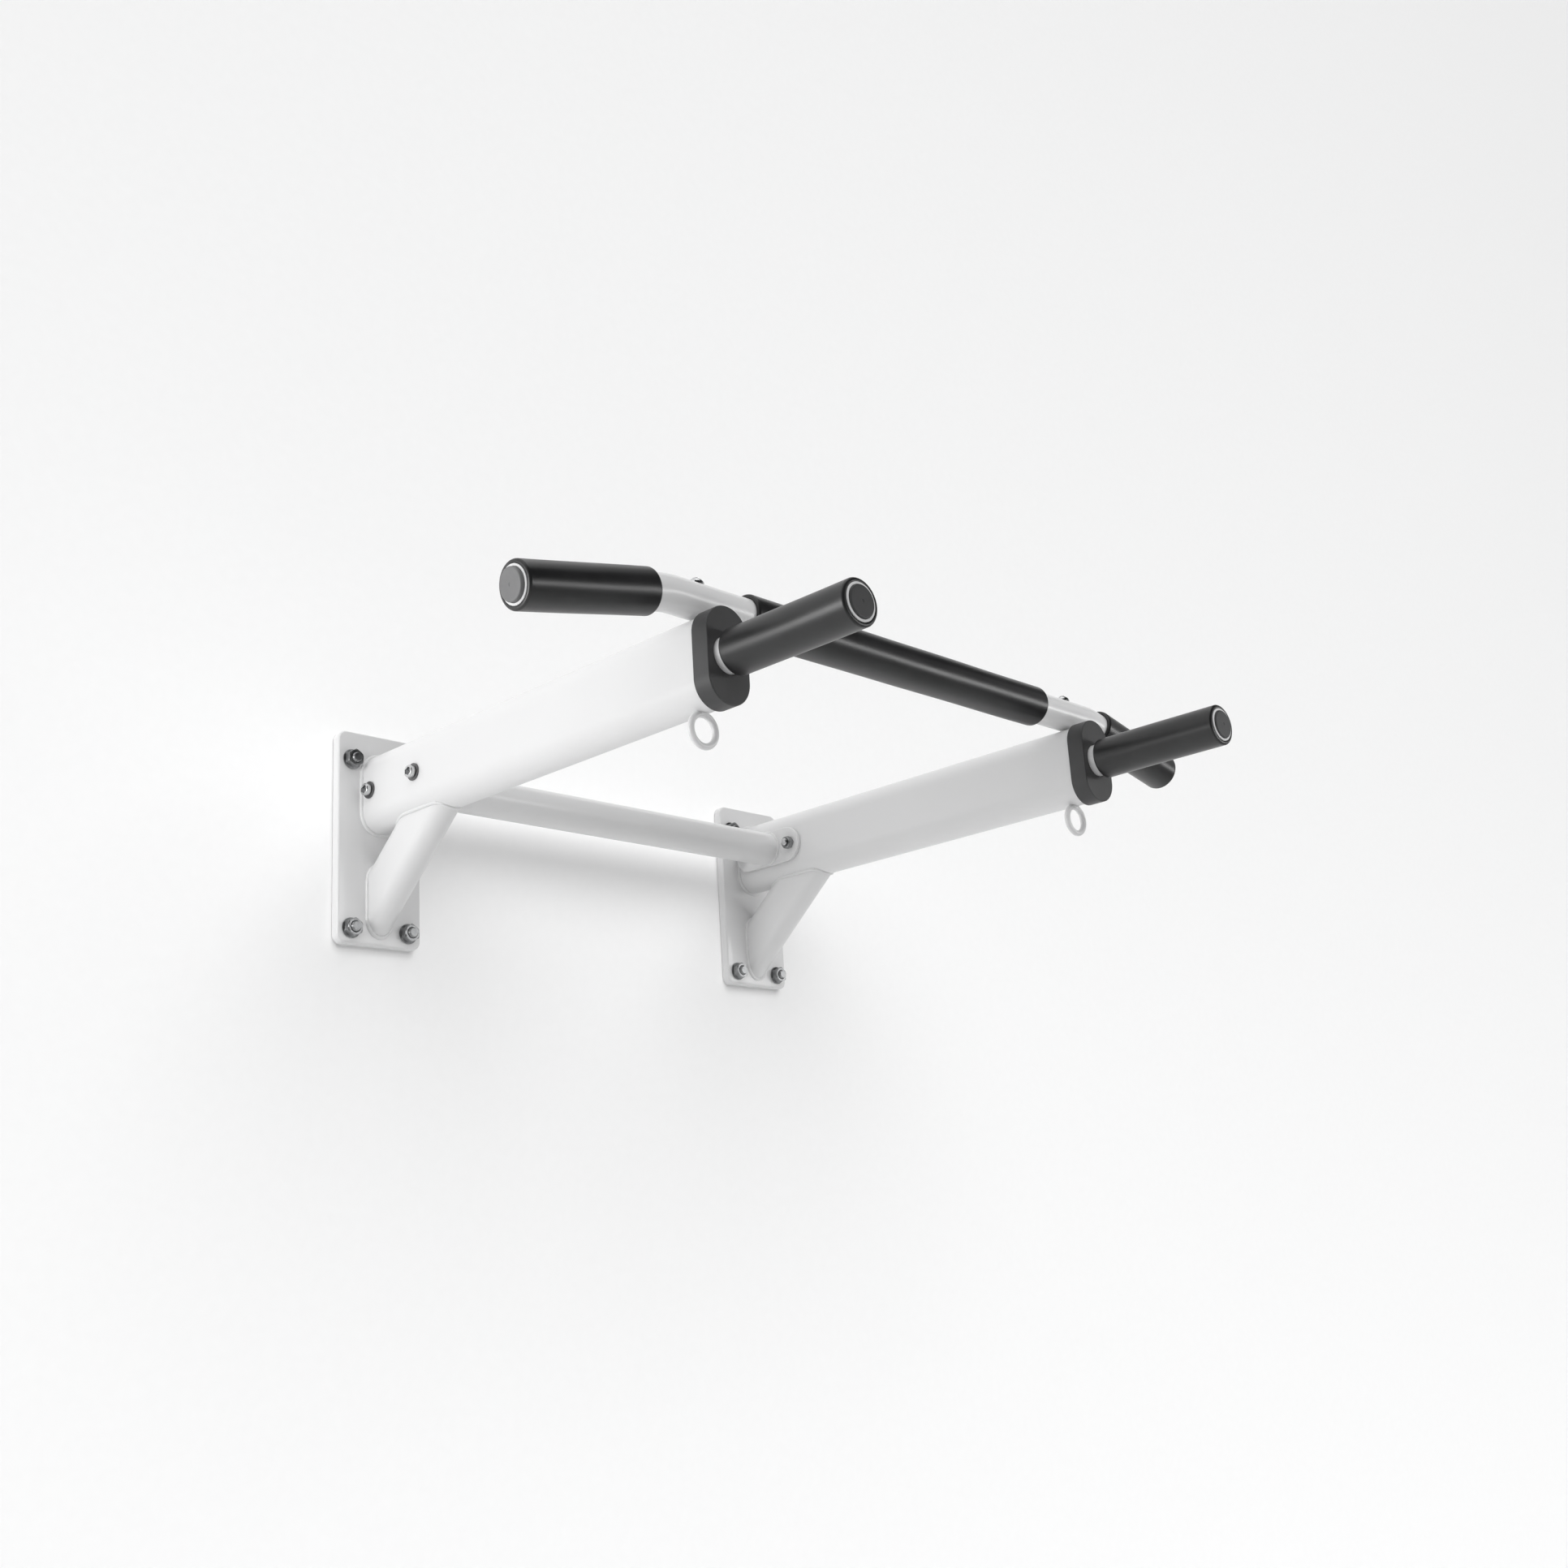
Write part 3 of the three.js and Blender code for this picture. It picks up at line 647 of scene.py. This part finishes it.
def moulded_plastic(name, shade):
    finish, s = new_finish(name)
    place = s.node("TexCoord", out="Object")
    spark = s.node("TexNoise", {}, {"Vector": place, "Scale": 1700.0, "Detail": 3.0, "Roughness": 0.55})
    leather = s.node("TexVoronoi", {"feature": "SMOOTH_F1"}, {"Vector": place, "Scale": 950.0})
    flow = s.node("TexNoise", {}, {"Vector": place, "Scale": 30.0, "Detail": 4.0})
    colour = s.node("ValToRGB", {"stops": [
        (0.3, tuple(c * 0.88 for c in shade)), (0.7, tuple(c * 1.15 for c in shade))]}, {"Fac": flow})
    gloss = 0.43 + 0.1 * flow
    skin = s.node("Bump", {}, {"Strength": 0.2, "Distance": 0.0002, "Height": spark + 0.6 * leather})
    plastic = s.node("BsdfPrincipled", {}, {
        "Base Color": colour, "Roughness": gloss, "Normal": skin, "Specular IOR Level": 0.5})
    s.node("OutputMaterial", {}, {"Surface": plastic})
    return finish


PLASTIC = moulded_plastic("black_moulded_plastic", MOULDED_BLACK)
# A lighter copy of the black plastic, with painted light in its colour.
PLUG_PLASTIC_PAINTED_LIT = moulded_plastic("plug_plastic_painted_lit", PLUG_GREY_PAINTED_LIT)
CAP_EDGE = 1.0 * MM


def ring_like(outline, radius):
    """A circle whose points face those of an outline, so that the two can be skinned."""
    turned = [math.atan2(b, a) for a, b in outline]
    return [(radius * math.cos(a), radius * math.sin(a)) for a in turned]


for word, side in SIDES:
    low, high = box_of(f"end_cap_{word}")
    arm_low, arm_high = box_of(f"arm_tube_{word}")
    size, middle, arm = high - low, (low + high) / 2, arm_high - arm_low
    hole = BAR_RADIUS + 0.3 * MM

    def shape(width, height):
        return flat_oval(width, height, 32, 24)

    def around(inset=0):
        return shape(size.x - 2 * inset, size.z - 2 * inset)

    pocket = shape(arm.x + 0.5 * MM, arm.z + 0.5 * MM)
    hollow = shape(arm.x - 2 * ARM_WALL, arm.z - 2 * ARM_WALL)
    profile = [(pocket, high.y)]
    profile += [(around(inset), high.y - depth) for inset, depth in edge_steps(0.6 * MM, 3)]
    profile += [(around(inset), low.y + depth) for inset, depth in reversed(list(edge_steps(CAP_EDGE, 5)))]
    profile += [(ring_like(pocket, hole + inset), low.y + depth)
                for inset, depth in edge_steps(0.6 * MM, 3)]
    profile += [(ring_like(pocket, hole), low.y + 3 * MM), (hollow, low.y + 3 * MM),
                (hollow, arm_low.y - 0.3 * MM), (pocket, arm_low.y - 0.3 * MM)]
    rings = [placed(outline, Vector((middle.x, y, middle.z)), X, Z) for outline, y in profile]
    build(f"cap_{word}", *loft(rings, closed=True), PLASTIC, "black_plastic", [f"end_cap_{word}"])

PLUG_RADIUS, PLUG_EDGE = 13.7 * MM, 1.3 * MM


def plug(name, mouth, direction, out, finish, slot, stands_for):
    level_side = direction.cross(Z).normalized()
    rise = level_side.cross(direction).normalized()
    profile = [(PLUG_RADIUS - 2.5 * MM, -4 * MM), (PLUG_RADIUS - 2.5 * MM, -20 * MM),
               (PLUG_RADIUS, -20 * MM), (PLUG_RADIUS, -10 * MM)]
    profile += [(PLUG_RADIUS - inset, out - depth) for inset, depth in reversed(list(edge_steps(PLUG_EDGE, 7)))]
    profile += [(6 * MM, out - 0.04 * MM), (1.6 * MM, out - 0.05 * MM), (1.2 * MM, out - 0.35 * MM)]
    rings = [placed(circle(r), mouth + direction * d, level_side, rise) for r, d in profile]
    build(name, *loft(rings), finish, slot, stands_for)


for word, side in SIDES:
    # The bar-end plugs take the lightened grey plastic: painted light on their end faces.
    plug(f"bar_end_plug_{word}", corner[side] + outward[side] * END_LENGTH, outward[side], 3.4 * MM,
         PLUG_PLASTIC_PAINTED_LIT, "grey_plastic", [f"bar_plug_{word}"])
    low, high = box_of(f"handle_tube_{word}")
    plug(f"handle_end_plug_{word}", Vector(((low.x + high.x) / 2, low.y, (low.z + high.z) / 2)), -Y, 1.6 * MM,
         PLASTIC, "black_plastic", [f"handle_plug_{word}"])


# ------------------------------------------------------------------ wall anchors
# Zinc-plated M10 studs with a flanged hexagon nut run up against the plate and a
# few threads standing proud of it.
def plated_steel(name, shade, polish, mottle):
    finish, s = new_finish(name)
    place = s.node("TexCoord", out="Object")
    cloud = s.node("TexNoise", {}, {"Vector": place, "Scale": 260.0, "Detail": 5.0, "Roughness": 0.6})
    grit = s.node("TexNoise", {}, {"Vector": place, "Scale": 2600.0, "Detail": 2.0})
    colour = s.node("ValToRGB", {"stops": [
        (0.3, tuple(c * (1 - mottle) for c in shade)), (0.7, shade)]}, {"Fac": cloud})
    gloss = polish + 0.16 * cloud
    skin = s.node("Bump", {}, {"Strength": 0.12, "Distance": 0.0001, "Height": cloud + 0.4 * grit})
    metal = s.node("BsdfPrincipled", {}, {
        "Base Color": colour, "Metallic": 1.0, "Roughness": gloss, "Normal": skin})
    s.node("OutputMaterial", {}, {"Surface": metal})
    return finish


ZINC = plated_steel("zinc_plated_steel", (0.36, 0.365, 0.37), 0.26, 0.35)
THREAD_PITCH = 1.5 * MM


def bolt_frame(direction):
    side = direction.cross(Z if abs(direction.z) < 0.9 else X).normalized()
    return side, side.cross(direction).normalized()


def hex_radius(angle, flat):
    sector = (angle + math.pi / 6) % (math.pi / 3) - math.pi / 6
    return flat / 2 / math.cos(sector)


def nut(name, seat, direction, flat, high, bore, stands_for, finish, slot, flange=0.0, turn_by=0.0):
    """A hexagon nut with its corners turned off by a cone at each end, standing on an optional flange."""
    u, v = bolt_frame(direction)
    angles = [math.tau * i / 72 for i in range(72)]
    base = 1.7 * MM if flange else 0.0
    heights = [base + (high - base) * t / 14 for t in range(15)]
    rings = []

    def add(radius_at, d):
        rings.append([seat + direction * d + (u * math.cos(a) + v * math.sin(a)) * radius_at(a) for a in angles])

    add(lambda a: bore, 0)
    if flange:
        add(lambda a: flange - 0.3 * MM, 0)
        add(lambda a: flange, 0.3 * MM)
        add(lambda a: flange, 0.9 * MM)
        add(lambda a: flange - 0.5 * MM, 1.25 * MM)
    for d in heights:
        top = flat / 2 * 0.97 + (high - d) * 1.7
        bottom = flat / 2 * 0.97 + d * 1.7 if not flange else 1.0
        add(lambda a: min(hex_radius(a + turn_by, flat), top, bottom), d)
    add(lambda a: bore + 0.7 * MM, high)
    add(lambda a: bore, high - 0.7 * MM)
    build(name, *loft(rings, closed=True), finish, slot, stands_for, smooth=24)


def stud(name, foot, direction, radius, length, threaded, stands_for, finish, slot):
    """A rod with real thread ridges over its last stretch and a chamfered tip."""
    u, v = bolt_frame(direction)
    count = 40
    depths = [0.0, length - threaded] + [length - threaded + t * 0.14 * MM
                                         for t in range(1, int(threaded / (0.14 * MM)) + 1)]
    rings = []
    for d in depths:
        tip = min(radius, radius - 1.1 * MM + (length - d) * 0.9)
        ring = []
        for i in range(count):
            a = math.tau * i / count
            saw = abs(((d / THREAD_PITCH - i / count) % 1) - 0.5) * 2
            cut = 0.62 * MM * saw if d > length - threaded else 0.0
            ring.append(foot + direction * d + (u * math.cos(a) + v * math.sin(a)) * min(radius - cut, tip))
        rings.append(ring)
    build(name, *loft(rings), finish, slot, stands_for, smooth=60)


rng = random.Random(3)
for word, side in SIDES:
    for k in range(1, 5):
        low, high = box_of(f"anchor_stud_{word}_{k}")
        axis = (low + high) / 2
        stud(f"stud_{word}_{k}", Vector((axis.x, high.y, axis.z)), -Y, (high.z - low.z) / 2, high.y - low.y,
             6.5 * MM, [f"anchor_stud_{word}_{k}"], ZINC, "zinc_steel")
        low, high = box_of(f"anchor_nut_{word}_{k}")
        nut(f"nut_{word}_{k}", Vector((axis.x, high.y, axis.z)), -Y, 16 * MM, high.y - low.y, 5.1 * MM,
            [f"anchor_nut_{word}_{k}"], ZINC, "zinc_steel", flange=(high.z - low.z) / 2,
            turn_by=rng.uniform(-0.12, 0.12))


# ------------------------------------------------------------------ cross tube fasteners
# Bright socket-head bolts on dark washers outside the arms, run through arm
# and flange into plain nuts on the inside. The washers' dark colour is black zinc and painted shade round the bolt
# heads.
BRIGHT = plated_steel("bright_plated_bolt", (0.66, 0.665, 0.67), 0.12, 0.12)
# Washer finish: dark from black zinc plating and from painted shade that stands for the shadow round each bolt head.
ZINC_AND_PAINTED_SHADE = plated_steel("washer_black_zinc_and_painted_shade", (0.2, 0.2, 0.202), 0.34, 0.3)


def socket_bolt(name, seat, direction, head, high, socket, deep, shank, reach, stands_for, dome=False, skirt=None):
    """A round head with a hexagon socket, and its shank."""
    u, v = bolt_frame(direction)
    angles = [math.tau * i / 72 for i in range(72)]
    rings = []

    def add(radius_at, d):
        rings.append([seat + direction * d + (u * math.cos(a) + v * math.sin(a)) * radius_at(a) for a in angles])

    add(lambda a: shank - 0.8 * MM, -reach)
    add(lambda a: shank, 0.8 * MM - reach)
    if skirt:
        add(lambda a: shank, -4 * MM)
        rings.append([skirt(seat, u * math.cos(a) + v * math.sin(a), shank) for a in angles])
        rings.append([skirt(seat, u * math.cos(a) + v * math.sin(a), head - 0.2 * MM) for a in angles])
    else:
        add(lambda a: shank, 0)
        add(lambda a: head - 0.3 * MM, 0)
        add(lambda a: head, 0.3 * MM)
    if dome:
        foot, crest = math.radians(10), math.radians(72)
        for t in range(9):
            b = foot + (crest - foot) * t / 8
            add(lambda a: head * math.cos(b) / math.cos(foot),
                high * (math.sin(b) - math.sin(foot)) / (math.sin(crest) - math.sin(foot)))
    else:
        for t in range(25):
            d = 0.8 * MM + (high - 2.4 * MM) * t / 24
            knurl = 0.10 * MM if 0 < t < 24 else 0.0
            add(lambda a: head - knurl * (0.5 + 0.5 * math.cos(36 * a)), d)
        for inset, depth in reversed(list(edge_steps(1.3 * MM, 6))):
            add(lambda a: head - inset, high - depth)
    add(lambda a: max(hex_radius(a, socket) + 0.45 * MM, 0), high)
    add(lambda a: hex_radius(a, socket), high - 0.45 * MM)
    add(lambda a: hex_radius(a, socket), high - deep)
    add(lambda a: 0.6 * hex_radius(a, socket), high - deep - 0.5 * MM)
    build(name, *loft(rings), BRIGHT, "bright_bolt", stands_for, smooth=30)


def washer(name, seat, direction, inner, outer, thick, stands_for):
    u, v = bolt_frame(direction)
    profile = [(inner, 0), (outer - 0.2 * MM, 0), (outer, 0.2 * MM), (outer, thick - 0.35 * MM),
               (outer - 0.35 * MM, thick), (inner + 0.2 * MM, thick), (inner, thick - 0.2 * MM)]
    rings = [placed(circle(r), seat + direction * d, u, v) for r, d in profile]
    # The washer colour is black zinc plus painted shade round the bolt head.
    build(name, *loft(rings, closed=True), ZINC_AND_PAINTED_SHADE, "dark_washer", stands_for)


HEAD_HIGH = 5 * MM
for word, side in SIDES:
    for k in (1, 2):
        low, high = box_of(f"cross_bolt_{word}_{k}")
        w_low, w_high = box_of(f"cross_washer_{word}_{k}")
        n_low, n_high = box_of(f"cross_nut_{word}_{k}")
        axis = (low + high) / 2
        out = X * side
        tip = high.x if side > 0 else low.x
        seat = Vector((tip - side * HEAD_HIGH, axis.y, axis.z))
        socket_bolt(f"flange_bolt_{word}_{k}", seat, out, 6 * MM, HEAD_HIGH, 7 * MM, 3.4 * MM, 4 * MM,
                    high.x - low.x - HEAD_HIGH, [f"cross_bolt_{word}_{k}"])
        face = w_low.x if side > 0 else w_high.x
        washer(f"flange_washer_{word}_{k}", Vector((face, axis.y, axis.z)), out, 4.3 * MM, 8.5 * MM,
               w_high.x - w_low.x, [f"cross_washer_{word}_{k}"])
        face = n_high.x if side > 0 else n_low.x
        nut(f"flange_nut_{word}_{k}", Vector((face, axis.y, axis.z)), -out, 13 * MM, n_high.x - n_low.x,
            4.1 * MM, [f"cross_nut_{word}_{k}"], ZINC, "zinc_steel", turn_by=0.3 * k + side)


# ------------------------------------------------------------------ grip bar bolts
# A bright dome-headed bolt goes down through the bar and the top of each arm into
# a nut inside. Its head is hollowed underneath to sit on the round tube.
def on_tube(seat, outward_way, radius):
    place = seat + outward_way * radius
    place.z = bar_z + math.sqrt((BAR_RADIUS + 0.05 * MM) ** 2 - (place.y - bar_y) ** 2)
    return place


for word, side in SIDES:
    low, high = box_of(f"bar_bolt_{word}")
    axis = (low + high) / 2
    crown = bar_z + BAR_RADIUS + 0.3 * MM
    socket_bolt(f"dome_bolt_{word}", Vector((axis.x, axis.y, crown)), Z, 7 * MM, high.z - crown, 5 * MM, 3 * MM,
                4 * MM, crown - low.z, [f"bar_bolt_{word}"], dome=True, skirt=on_tube)
    inner_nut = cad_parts[f"bar_nut_{word}"]
    inner_nut.data.materials.clear()
    inner_nut.data.materials.append(ZINC)

low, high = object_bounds()
({"cad": [list(map(float, c)) for c in cad_box],
           "visual": [list(map(float, low)), list(map(float, high))]})
